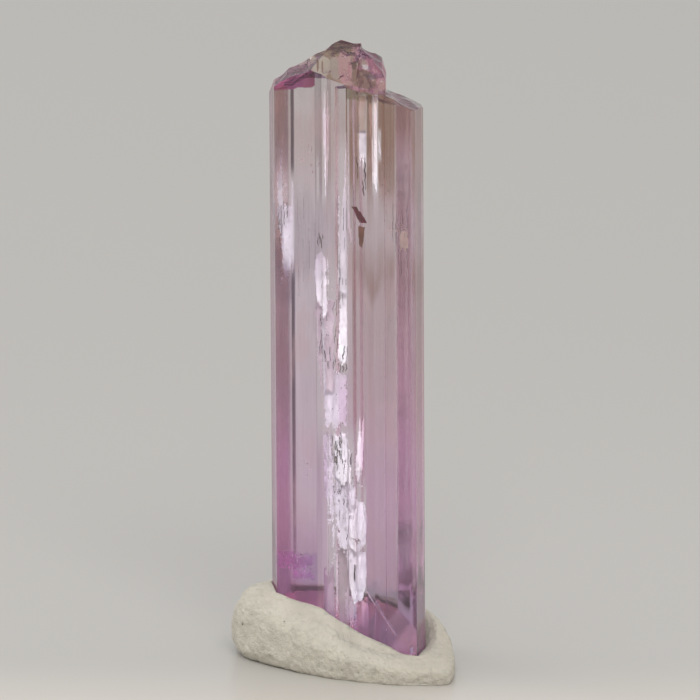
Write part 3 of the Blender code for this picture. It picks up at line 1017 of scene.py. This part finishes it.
finishes = {
    "silver": makeSilver("silverVeil", (0.88, 0.88, 0.90), 1.0, 0.31),
    "white": makeSilver("whiteFeather", (0.87, 0.85, 0.90), 0.90, 0.36),
    "lilac": makeSilver("lilacPanel", (0.66, 0.57, 0.59), 0.70, 0.42),
    "mauve": makeSilver("mauvePanel", (0.68, 0.54, 0.63), 0.70, 0.42),
    "blush": makeSilver("blushVeil", (0.92, 0.82, 0.88), 0.85, 0.42),
    "beige": makeSilver("beigeBreak", (0.90, 0.78, 0.70), 0.70, 0.50),
    "plum": makeStain("plumThread", srgb(92, 66, 84), srgb(120, 96, 108), 0.5),
    "wine": makeStain("wineFlake", srgb(150, 48, 80), srgb(120, 38, 64), 0.25),
    "amber": makeStain("amberTongue", srgb(190, 140, 112), srgb(160, 116, 92), 0.4),
    "olive": makeStain("oliveThread", srgb(122, 118, 98), srgb(92, 84, 74), 0.5),
    "ash": makeStain("ashSpeck", srgb(110, 104, 104), srgb(84, 74, 80), 0.6),
}

# Sheets sealed behind the front face, drawn as seen: outline across and upwards in millimetres, how much of
# it is left, how drawn out its tears are, how far it leans back in degrees, finish.
sheets = {
    "leftFeatherTip": (
        [(-3.08, 24.2), (-2.95, 24.5), (-2.85, 23.9), (-2.82, 22.9), (-2.98, 22.5), (-3.08, 23.2)],
        0.62, 6, 15, "white",
    ),
    "leftFeather": (
        [(-3.09, 22.6), (-2.95, 22.9), (-2.52, 22.8), (-2.44, 22.4), (-2.44, 20.1), (-2.57, 19.5),
         (-2.71, 19.2), (-2.85, 19.8), (-2.90, 21.2), (-3.04, 21.9)],
        0.72, 5, 15, "white",
    ),
    "leftLine": ([(-2.42, 24.4), (-2.31, 23.8), (-2.30, 20.0), (-2.40, 19.4)], 1.0, 5, 14, "white"),
    "leftStreak": ([(-2.95, 25.6), (-2.90, 25.6), (-2.86, 23.5), (-2.92, 23.2)], 0.8, 9, 14, "white"),
    "blueLine": (
        [(-0.82, 28.8), (-0.79, 28.8), (-0.77, 27.7), (-0.73, 25.9), (-0.75, 25.1), (-0.78, 23.5),
         (-0.81, 23.5), (-0.84, 25.4), (-0.89, 26.2), (-0.89, 27.5), (-0.84, 27.9)],
        1.0, 5, 14, "white",
    ),
    "centreBarTop": (
        [(0.10, 26.7), (0.18, 26.7), (0.21, 23.5), (0.22, 22.0), (0.18, 18.6), (-0.14, 18.9),
         (-0.12, 22.0), (-0.01, 23.5), (0.06, 25.0)],
        0.90, 14, 13, "white",
    ),
    "centreSide": ([(-0.20, 23.6), (-0.16, 23.6), (-0.16, 19.4), (-0.24, 19.2)], 0.75, 14, 12, "white"),
    "centreBarLow": (
        [(-0.14, 19.1), (0.18, 18.8), (0.13, 15.5), (-0.02, 15.2), (-0.25, 15.6), (-0.20, 17.2)],
        0.78, 12, 15, "silver",
    ),
    "shoulderWhite": (
        [(-1.24, 20.5), (-0.99, 20.8), (-0.99, 18.0), (-1.20, 18.2), (-1.30, 19.4)],
        0.78, 5, 15, "silver",
    ),
    "shoulderSide": (
        [(-0.97, 20.8), (-0.80, 20.3), (-0.76, 18.8), (-0.78, 17.6), (-0.97, 17.4)],
        0.78, 5, 15, "silver",
    ),
    "columnPale": ([(-1.25, 18.3), (-0.99, 18.3), (-0.99, 13.6), (-1.20, 15.2)], 0.68, 7, 12, "blush"),
    "columnLine": (
        [(-0.97, 17.8), (-0.80, 17.8), (-0.78, 14.0), (-0.90, 13.6), (-0.96, 14.6)],
        0.72, 7, 14, "white",
    ),
    "columnWhite": ([(-0.80, 18.4), (-0.38, 18.4), (-0.40, 14.0), (-0.78, 13.8)], 0.52, 14, 12, "blush"),
    "lilacWhite": (
        [(-0.88, 14.6), (-0.50, 14.9), (0.12, 14.7), (0.10, 12.1), (-0.10, 12.5), (-0.30, 11.9),
         (-0.62, 12.3), (-0.85, 12.0)],
        0.60, 12, 14, "white",
    ),
    "rightBlade": (
        [(1.50, 28.7), (1.69, 28.7), (1.68, 24.4), (1.63, 23.8), (1.56, 24.3), (1.50, 24.4)],
        1.0, 5, 15, "silver",
    ),
    "rightShard": ([(1.69, 26.7), (1.84, 25.95), (1.80, 25.8), (1.70, 26.0)], 1.0, 5, 14, "white"),
    "rightDash": ([(1.98, 25.0), (2.04, 24.7), (2.08, 23.7), (2.02, 24.2)], 1.0, 5, 14, "white"),
    "middlePeach": (
        [(0.84, 28.6), (1.14, 28.6), (1.16, 27.2), (1.12, 26.9), (0.84, 26.9), (0.80, 27.3)],
        0.9, 8, 14, "beige",
    ),
    "middleBlade": (
        [(0.82, 27.1), (1.14, 27.1), (1.18, 25.6), (1.12, 25.2), (1.06, 25.7), (0.99, 25.0), (0.93, 25.8),
         (0.86, 25.1), (0.79, 25.9)],
        0.95, 8, 14, "white",
    ),
    "paleShard": (
        [(0.24, 23.1), (0.36, 22.6), (0.46, 21.5), (0.40, 21.3), (0.26, 22.2)],
        0.9, 4, 14, "white",
    ),
    "beigeBlock": (
        [(2.72, 22.1), (3.10, 22.1), (3.12, 21.3), (2.98, 21.1), (2.85, 21.3), (2.74, 21.1)],
        0.8, 3, 12, "beige",
    ),
    "spear": (
        [(0.79, 12.8), (0.84, 12.0), (0.85, 10.9), (0.80, 10.0), (0.70, 9.5), (0.56, 9.9), (0.54, 10.7),
         (0.68, 11.6)],
        0.84, 8, 15, "silver",
    ),
    "veilFringe": (
        [(-0.76, 11.8), (-0.50, 11.9), (-0.42, 9.0), (-0.45, 5.6), (-0.56, 4.9), (-0.60, 7.0),
         (-0.78, 9.0)],
        0.40, 6, 14, "white",
    ),
    "veilHead": (
        [(-0.48, 11.9), (-0.34, 11.6), (-0.10, 11.9), (0.18, 11.6), (0.18, 9.6), (-0.10, 9.2),
         (-0.38, 9.7)],
        0.72, 5, 14, "silver",
    ),
    "veilHeadSide": ([(0.20, 11.2), (0.34, 10.8), (0.36, 9.6), (0.24, 9.0)], 0.66, 5, 14, "silver"),
    "veilPatch": (
        [(-0.50, 10.0), (0.25, 9.6), (0.25, 6.4), (-0.20, 6.0), (-0.40, 7.2)],
        0.52, 4, 14, "white",
    ),
    "veilPatchSide": ([(0.20, 9.4), (0.60, 9.3), (0.60, 8.4), (0.20, 8.0)], 0.60, 3, 14, "white"),
    "veilHeart": (
        [(0.12, 8.3), (0.36, 8.7), (0.70, 8.6), (0.70, 6.6), (0.30, 6.7), (0.12, 7.2)],
        0.92, 2, 14, "silver",
    ),
    "veilHeartSide": (
        [(0.60, 8.6), (0.90, 8.4), (1.04, 7.6), (1.02, 7.0), (0.82, 6.6), (0.60, 6.7)],
        0.86, 2, 15, "white",
    ),
    "veilSlant": (
        [(0.10, 7.2), (0.36, 6.8), (0.60, 6.4), (0.60, 5.9), (0.34, 6.2), (0.12, 6.6)],
        0.84, 2, 13, "silver",
    ),
    "veilSlantSide": ([(0.64, 6.3), (1.02, 6.9), (1.04, 6.5), (0.66, 5.9)], 0.86, 2, 14, "white"),
    "veilTail": (
        [(0.14, 6.0), (0.44, 6.1), (0.70, 6.1), (0.70, 3.6), (0.50, 3.3), (0.32, 4.0), (0.20, 4.8)],
        0.94, 3, 14, "silver",
    ),
    "veilTailSide": (
        [(0.60, 6.1), (0.92, 6.0), (0.98, 5.2), (0.94, 4.2), (0.80, 3.6), (0.60, 3.5)],
        0.92, 3, 14, "white",
    ),
    "tailSlit": ([(0.49, 5.4), (0.55, 5.3), (0.52, 4.5), (0.46, 4.6)], 1.0, 1, 14, "ash"),
    "lowBreak": (
        [(0.08, 4.3), (0.34, 3.7), (0.58, 3.9), (0.62, 3.0), (0.50, 2.4), (0.30, 2.2), (0.16, 2.5),
         (0.04, 3.2)],
        0.44, 3, 13, "blush",
    ),
    "lowMauve": (
        [(-0.97, 4.3), (-0.86, 5.2), (-0.70, 4.6), (-0.56, 5.4), (-0.44, 4.8), (-0.44, 2.3), (-0.97, 2.7)],
        0.62, 6, 13, "mauve",
    ),
    "lowStreak": ([(-0.41, 5.8), (-0.32, 5.8), (-0.33, 2.9), (-0.40, 2.8)], 0.86, 9, 14, "blush"),
    "lowColumn": ([(-0.29, 6.2), (0.18, 6.0), (0.18, 2.0), (-0.29, 2.3)], 0.86, 9, 12, "lilac"),
    "footEdge": ([(1.04, 4.05), (1.12, 4.05), (2.50, 2.0), (2.43, 1.98)], 1.0, 1, 13, "blush"),
    "cornerGlint": ([(3.12, 1.35), (3.26, 1.5), (3.30, 1.2), (3.18, 1.1)], 1.0, 1, 14, "silver"),
    "footFrost": (
        [(-3.16, 5.5), (-2.60, 5.7), (-2.20, 5.45), (-1.45, 5.5), (-1.40, 4.9), (-2.40, 4.75),
         (-3.16, 4.8)],
        0.36, 0.8, 12, "blush",
    ),
    "footLine": ([(-2.50, 4.75), (-1.45, 4.75), (-1.45, 4.4), (-2.50, 4.3)], 0.50, 0.5, 13, "blush"),
    "wineFlake": ([(0.40, 23.12), (0.68, 23.12), (1.14, 22.36), (0.82, 22.36)], 1.0, 1, 4, "wine"),
    "amberTongue": (
        [(0.80, 22.2), (1.06, 22.15), (1.00, 21.4), (0.90, 21.1), (0.82, 21.3)],
        1.0, 1, 4, "amber",
    ),
}

# Clouds of flakes: across and height of the middle, width, height, depth, count, flake size, stretch, tilt,
# finish.
flakeClouds = {
    "veilSparkle": (0.10, 8.6, 1.6, 6.4, 0.5, 110, 0.055, 1.8, 0.40, "silver"),
    "lowSparkle": (0.45, 3.2, 0.8, 1.4, 0.3, 26, 0.040, 1.4, 0.40, "silver"),
    "featherSparkle": (-2.85, 22.0, 0.6, 6.5, 0.3, 60, 0.035, 3.0, 0.4, "silver"),
    "columnSparkle": (-0.60, 17.5, 1.3, 5.5, 0.4, 60, 0.035, 2.2, 0.45, "blush"),
    "frostedFoot": (-2.35, 5.1, 1.9, 1.0, 0.3, 60, 0.035, 1.0, 0.6, "blush"),
    "upperScratches": (-1.90, 25.0, 1.6, 3.4, 0.5, 30, 0.022, 8.0, 0.4, "blush"),
    "rightFlecks": (1.85, 24.0, 0.7, 3.6, 0.4, 26, 0.022, 6.0, 0.4, "silver"),
    "rightBits": (2.65, 22.2, 0.9, 0.5, 0.3, 22, 0.045, 1.2, 0.5, "beige"),
    "rightSpecks": (2.60, 13.0, 1.8, 20.0, 1.2, 60, 0.022, 1.5, 0.9, "ash"),
    "columnSpecks": (-0.40, 14.5, 1.3, 5.5, 0.3, 34, 0.030, 1.5, 0.6, "ash"),
    "leftFlecks": (-1.90, 9.9, 0.7, 0.9, 0.2, 22, 0.030, 1.5, 0.6, "blush"),
    "veilSpecks": (0.10, 8.8, 1.4, 5.6, 0.3, 30, 0.026, 2.5, 0.6, "plum"),
}

# Bundles of fine growth tubes: across and height of the middle, width, height, count, length, radius, wander,
# finish.
threads = {
    "columnThreads": (-0.75, 16.6, 1.0, 3.2, 20, 0.8, 0.012, 0.20, "ash"),
    "barThreads": (0.02, 15.6, 0.4, 1.2, 8, 0.5, 0.018, 0.20, "ash"),
    "barTopThreads": (-1.02, 21.2, 0.4, 0.8, 5, 0.6, 0.016, 0.20, "ash"),
    "centreThreads": (0.00, 20.8, 0.5, 5.6, 10, 1.8, 0.010, 0.06, "ash"),
    "middleThreads": (0.98, 24.6, 0.5, 1.6, 9, 0.9, 0.016, 0.18, "plum"),
    "featherThreads": (-2.85, 22.2, 0.5, 2.4, 10, 0.8, 0.014, 0.20, "ash"),
    "rightThreads": (2.60, 21.5, 1.0, 3.0, 12, 1.6, 0.008, 0.10, "ash"),
    "leftThreads": (-1.90, 21.0, 1.4, 9.0, 14, 1.8, 0.008, 0.08, "blush"),
    "oliveThreads": (-0.25, 11.0, 0.7, 1.2, 12, 0.6, 0.020, 0.24, "olive"),
    "veilThreads": (0.15, 9.4, 1.1, 4.2, 18, 0.9, 0.013, 0.24, "plum"),
    "slantThreads": (0.50, 6.6, 0.8, 0.6, 6, 0.5, 0.013, 0.30, "plum"),
}

sealedDetail = {
    "cell": 0.028,      # millimetres between a sheet's grid lines
    "relief": 0.035,
    "ragged": 0.9,      # how far a torn sheet's edge wanders
    "neat": 0.04,       # and a whole one's
    "thickness": 0.012,
    "inside": 0.28,     # behind the front face at the sheet's lower end
}


def emptyObject(name):
    return newMeshObject(name, bmesh.new())


def moveMesh(obj, across, height):
    obj.data.transform(Matrix.Translation(Vector((across, height, 0)) * mm))


def makeSheet(name, row, tree, seed, detail):
    outline, cover, streak, lean, finish = row
    bm = bmesh.new()
    bm.faces.new([bm.verts.new((a * mm, h * mm, 0)) for a, h in outline])
    sheet = newMeshObject(name, bm)
    runTree(sheet, tree, {
        "Cell": detail["cell"] * mm, "Cover": cover, "Streak": float(streak),
        "Ragged": (detail["ragged"] * (1 - cover) + detail["neat"]) * mm, "Relief": detail["relief"] * mm,
        "Thickness": detail["thickness"] * mm, "Seed": seed, "Material": finishes[finish],
    })
    settle(sheet, lean, detail["inside"])
    return sheet


def makeFlakes(name, row, tree, seed, detail):
    across, height, width, tall, deep, count, size, stretch, tilt, finish = row
    cloud = emptyObject(name)
    runTree(cloud, tree, {
        "Width": width * mm, "Height": tall * mm, "Depth": deep * mm, "Count": float(count),
        "Size": size * mm, "Stretch": stretch, "Tilt": tilt, "Seed": seed + 11, "Material": finishes[finish],
    })
    moveMesh(cloud, across, height)
    settle(cloud, 0.0, detail["inside"] + deep / 2)
    return cloud


def makeThreads(name, row, tree, seed, detail):
    across, height, width, tall, count, length, radius, wander, finish = row
    bundle = emptyObject(name)
    runTree(bundle, tree, {
        "Width": width * mm, "Height": tall * mm, "Count": float(count), "Length": length * mm,
        "Radius": radius * mm, "Wander": wander * mm, "Seed": seed + 5, "Material": finishes[finish],
    })
    moveMesh(bundle, across, height)
    settle(bundle, 0.0, detail["inside"] + 0.1)
    return bundle


def makeInclusions(detail):
    made = []
    for maker, tree, rows in (
        (makeSheet, makeSheetTree(), sheets),
        (makeFlakes, makeFlakeTree(), flakeClouds),
        (makeThreads, makeThreadTree(), threads),
    ):
        made += [maker(name, row, tree, seed, detail) for seed, (name, row) in enumerate(rows.items())]
    # the lilac and mauve panels are joined with the dark marks
    bright = [finishes[name] for name in ("silver", "white", "blush", "beige")]
    pale = [obj for obj in made if obj.data.materials[0] in bright]
    dark = [obj for obj in made if obj not in pale]
    for piece in (joinInto("silverInclusions", pale), joinInto("darkInclusions", dark)):
        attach(piece, "root")
        markBacks(piece)
        print(piece.name, len(piece.data.polygons), "faces")


makeInclusions(sealedDetail)


# Putty

puttyShape = {
    "centre": (0.30, -0.30),   # millimetres
    "gap": 0.05,               # between the putty and the crystal
    "floor": 0.40,             # height of the pocket's bottom
    "around": 600,             # steps round the lump
    "topSteps": 34,            # from the crystal to the widest place
    "sideSteps": 14,           # and from there to the floor
    "lip": 0.06,               # rounding where the putty meets the crystal
    "waist": (0.42, 0.9),      # height of the widest place: share of the shoulder's, and its limit
    "seed": 3.0,
    "dents": 0.12,
    "lumps": 0.05,
    "pits": 0.05,
}

# Stations round the lump: direction in degrees, reach at the floor, extra reach of the bulge, squareness of
# the shoulder, height of the shoulder, height where the putty meets the crystal. Millimetres.
stations = [
    (0, 4.55, 0.30, 2.2, 1.75, 1.15), (14, 4.30, 0.25, 2.2, 2.15, 1.98),
    (31, 4.15, 0.25, 2.2, 2.55, 2.58), (57, 4.10, 0.25, 2.4, 3.00, 3.05),
    (90, 4.15, 0.25, 2.6, 3.35, 3.38), (117, 4.80, 0.30, 2.8, 3.35, 3.36),
    (140, 5.45, 0.34, 3.0, 3.32, 3.40), (153, 5.62, 0.42, 3.2, 3.30, 3.55),
    (165, 5.20, 0.68, 3.2, 3.22, 3.58), (178, 4.35, 0.72, 3.0, 3.12, 3.50),
    (190, 3.70, 0.60, 2.9, 3.00, 3.22), (203, 3.15, 0.50, 2.8, 2.85, 3.12),
    (215, 2.96, 0.40, 2.6, 2.70, 2.98), (228, 2.77, 0.32, 2.5, 2.42, 2.76),
    (248, 2.76, 0.26, 2.4, 2.10, 2.48), (264, 2.92, 0.22, 2.4, 1.85, 2.30),
    (282, 3.34, 0.18, 2.3, 1.55, 2.02), (297, 4.07, 0.15, 2.2, 1.30, 1.77),
    (309, 4.85, 0.14, 2.2, 1.18, 1.50), (320, 5.75, 0.14, 2.2, 1.15, 1.02),
    (328, 5.55, 0.20, 2.2, 1.18, 1.05), (340, 5.00, 0.30, 2.2, 1.22, 1.00),
    (350, 4.70, 0.34, 2.2, 1.35, 0.96),
]


def around(turn, column):  # a smooth value between the stations
    angles = [row[0] for row in stations]
    count = len(stations)
    after = next((i for i, angle in enumerate(angles) if angle > turn), count)
    span = [stations[(after + k) % count][column] for k in (-2, -1, 0, 1)]
    left = angles[after - 1]
    right = angles[after % count] + (360 if after == count else 0)
    t = (turn - left) / (right - left)
    a, b, c, d = span
    return b + 0.5 * t * (c - a + t * (2 * a - 5 * b + 4 * c - d + t * (3 * (b - c) + d - a)))


def crystalReach(turn, centre, outline):  # from the centre to the crystal's side in this direction
    ray = Vector((math.cos(math.radians(turn)), math.sin(math.radians(turn))))
    best = 0
    for (ax, ay), (bx, by) in zip(outline, outline[1:] + outline[:1]):
        ax, ay, bx, by = ax - centre[0], ay - centre[1], bx - centre[0], by - centre[1]
        edge = Vector((bx - ax, by - ay))
        cross = ray.x * edge.y - ray.y * edge.x
        if abs(cross) < 1e-9:
            continue
        distance = (ax * edge.y - ay * edge.x) / cross
        share = (ax * ray.y - ay * ray.x) / cross
        if distance > 0 and -1e-6 <= share <= 1 + 1e-6:
            best = max(best, distance)
    return best


def puttyProfile(turn, shape, outlines):  # reach and height, from the pocket's bottom outwards and down
    base, bulge, square, shoulder, rim = (around(turn, column) for column in (1, 2, 3, 4, 5))
    inner = max(crystalReach(turn, shape["centre"], outline) for outline in outlines) + shape["gap"]
    floor, lip, steps, sideSteps = shape["floor"], shape["lip"], shape["topSteps"], shape["sideSteps"]
    waist = min(shape["waist"][0] * shoulder, shape["waist"][1])
    profile = [(inner * share, floor) for share in (0.35, 0.7, 0.97)]
    profile += [(inner, floor + (rim - 0.05 - floor) * share) for share in (0.05, 0.4, 0.8, 1.0)]
    profile += [(inner + 0.02, rim), (inner + lip, rim + 0.02)]
    for k in range(1, steps + 1):
        swing = math.pi / 2 * k / steps
        out = math.sin(swing) ** (2 / square)
        up = max(math.cos(swing), 0.0) ** (2 / square)
        reach = inner + lip + (base + bulge - inner - lip) * out
        edge = min(1.0, (reach - inner) / 0.5)
        crown = rim + (shoulder - rim) * edge ** 0.7
        profile.append((reach, waist + (crown - waist) * up))
    for k in range(1, sideSteps + 1):
        swing = math.pi / 2 * k / sideSteps
        profile.append((base + bulge * math.cos(swing) ** 1.2, waist * (1 - math.sin(swing))))
    return profile + [(base * 0.9, 0.0), (base * 0.5, 0.0)]


def kneadPutty(rings, pitLayer, shape):  # dents, lumps and pits on what shows
    seed = Vector((shape["seed"], 0, 0))
    for ring in rings:
        for k, vert in enumerate(ring):
            if k < 9 or k > len(ring) - 3:
                continue
            fade = min(1.0, (k - 8) / 6) * min(1.0, (len(ring) - 2 - k) / 4)
            spot = vert.co.copy()
            dent = noise.noise(spot * 0.55 + seed) + 0.5 * noise.noise(spot * 1.3 + seed)
            lump = noise.fractal(spot * 3.2 + seed, 0.7, 2.1, 3)
            near = noise.voronoi(spot * 1.9 + seed)[0][0]
            pitted = noise.noise(spot * 0.9 - seed) > -0.1
            pit = max(0.0, 1 - near / 0.22) ** 0.8 if pitted else 0.0
            vert[pitLayer] = pit
            swell = shape["dents"] * dent + shape["lumps"] * lump - shape["pits"] * pit
            vert.co += vert.normal * fade * swell
            vert.co.z = max(vert.co.z, 0.0)


def makePutty(shape, material):
    offset = crystalShift / mm
    outlines = [[(x + offset.x, y + offset.y) for x, y in plan] for plan in columnPlans]
    bm = bmesh.new()
    pitLayer = bm.verts.layers.float.new("pit")
    rings = []
    centre = shape["centre"]
    for step in range(shape["around"]):
        turn = 360 * step / shape["around"]
        cos, sin = math.cos(math.radians(turn)), math.sin(math.radians(turn))
        rings.append([
            bm.verts.new((centre[0] + reach * cos, centre[1] + reach * sin, height))
            for reach, height in puttyProfile(turn, shape, outlines)
        ])
    for ring, after in zip(rings, rings[1:] + rings[:1]):
        for k in range(len(ring) - 1):
            bm.faces.new((ring[k], after[k], after[k + 1], ring[k + 1]))
    bm.faces.new([ring[0] for ring in rings])
    bm.faces.new([ring[-1] for ring in reversed(rings)])
    bmesh.ops.recalc_face_normals(bm, faces=bm.faces)
    bm.normal_update()
    kneadPutty(rings, pitLayer, shape)
    bmesh.ops.scale(bm, vec=(mm, mm, mm), verts=bm.verts)
    putty = newMeshObject("putty", bm, smooth=True)
    putty.data.materials.append(material)
    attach(putty, "root")
    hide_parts("putty_base")
    return putty


puttyColours = {
    # painted light and shade: the lump is lighter on the left, where the light comes from, and darker to the
    # right
    "left": srgb(217, 211, 196),
    "right": srgb(206, 199, 184),
    "cloud": srgb(193, 187, 173),
    "grey": srgb(176, 176, 162),
    # painted shade in the pits and small holes
    "pit": srgb(140, 140, 122),
    "hole": srgb(84, 78, 64),
}


def makePuttyMaterial(colours):
    material, nodes = newMaterial("mineralPutty")
    x, y, z = place(nodes)
    spot = nodes.vector(x, y, z)
    cloud = nodes.noise(spot, 0.9, 4.0, 0.6)
    # painted light: lighter towards the left, darker towards the right
    light = nodes.mix(x.rise(-1.0, 4.5), colours["left"], colours["right"])
    colour = nodes.mix(cloud.rise(0.35, 0.7) * 0.6, light, colours["cloud"])
    grey = nodes.noise(spot, 2.6, 3.0, 0.6)
    colour = nodes.mix(grey.rise(0.56, 0.72) * 0.5, colour, colours["grey"])
    # painted shade in the pits
    pit = nodes.add("ShaderNodeAttribute", {"attribute_name": "pit"}).out("Fac")
    colour = nodes.mix(pit.rise(0.2, 0.9) * 0.45, colour, colours["pit"])
    # painted shade: small dark holes
    holes = nodes.add("ShaderNodeTexVoronoi", {}, {"Vector": spot, "Scale": 1.25})
    size = nodes.add("ShaderNodeSeparateColor", {}, {0: holes.out("Color")})
    hole = 1 - (holes / (size * 0.07 + 0.015)).rise(0.6, 1.1)
    colour = nodes.mix(hole * 0.85, colour, colours["hole"])
    grain = nodes.noise(spot, 14.0, 4.0, 0.65) + nodes.noise(spot, 4.5, 3.0, 0.6) * 1.5 - hole * 2.5
    bump = nodes.add("ShaderNodeBump", {}, {"Strength": 0.9, "Distance": 0.00008, "Height": grain})
    finishMaterial(nodes, {"Base Color": colour, "Roughness": 0.78 + cloud * 0.12, "Normal": bump})
    return material


putty = makePutty(puttyShape, makePuttyMaterial(puttyColours))
print("putty made", len(putty.data.polygons), "faces")
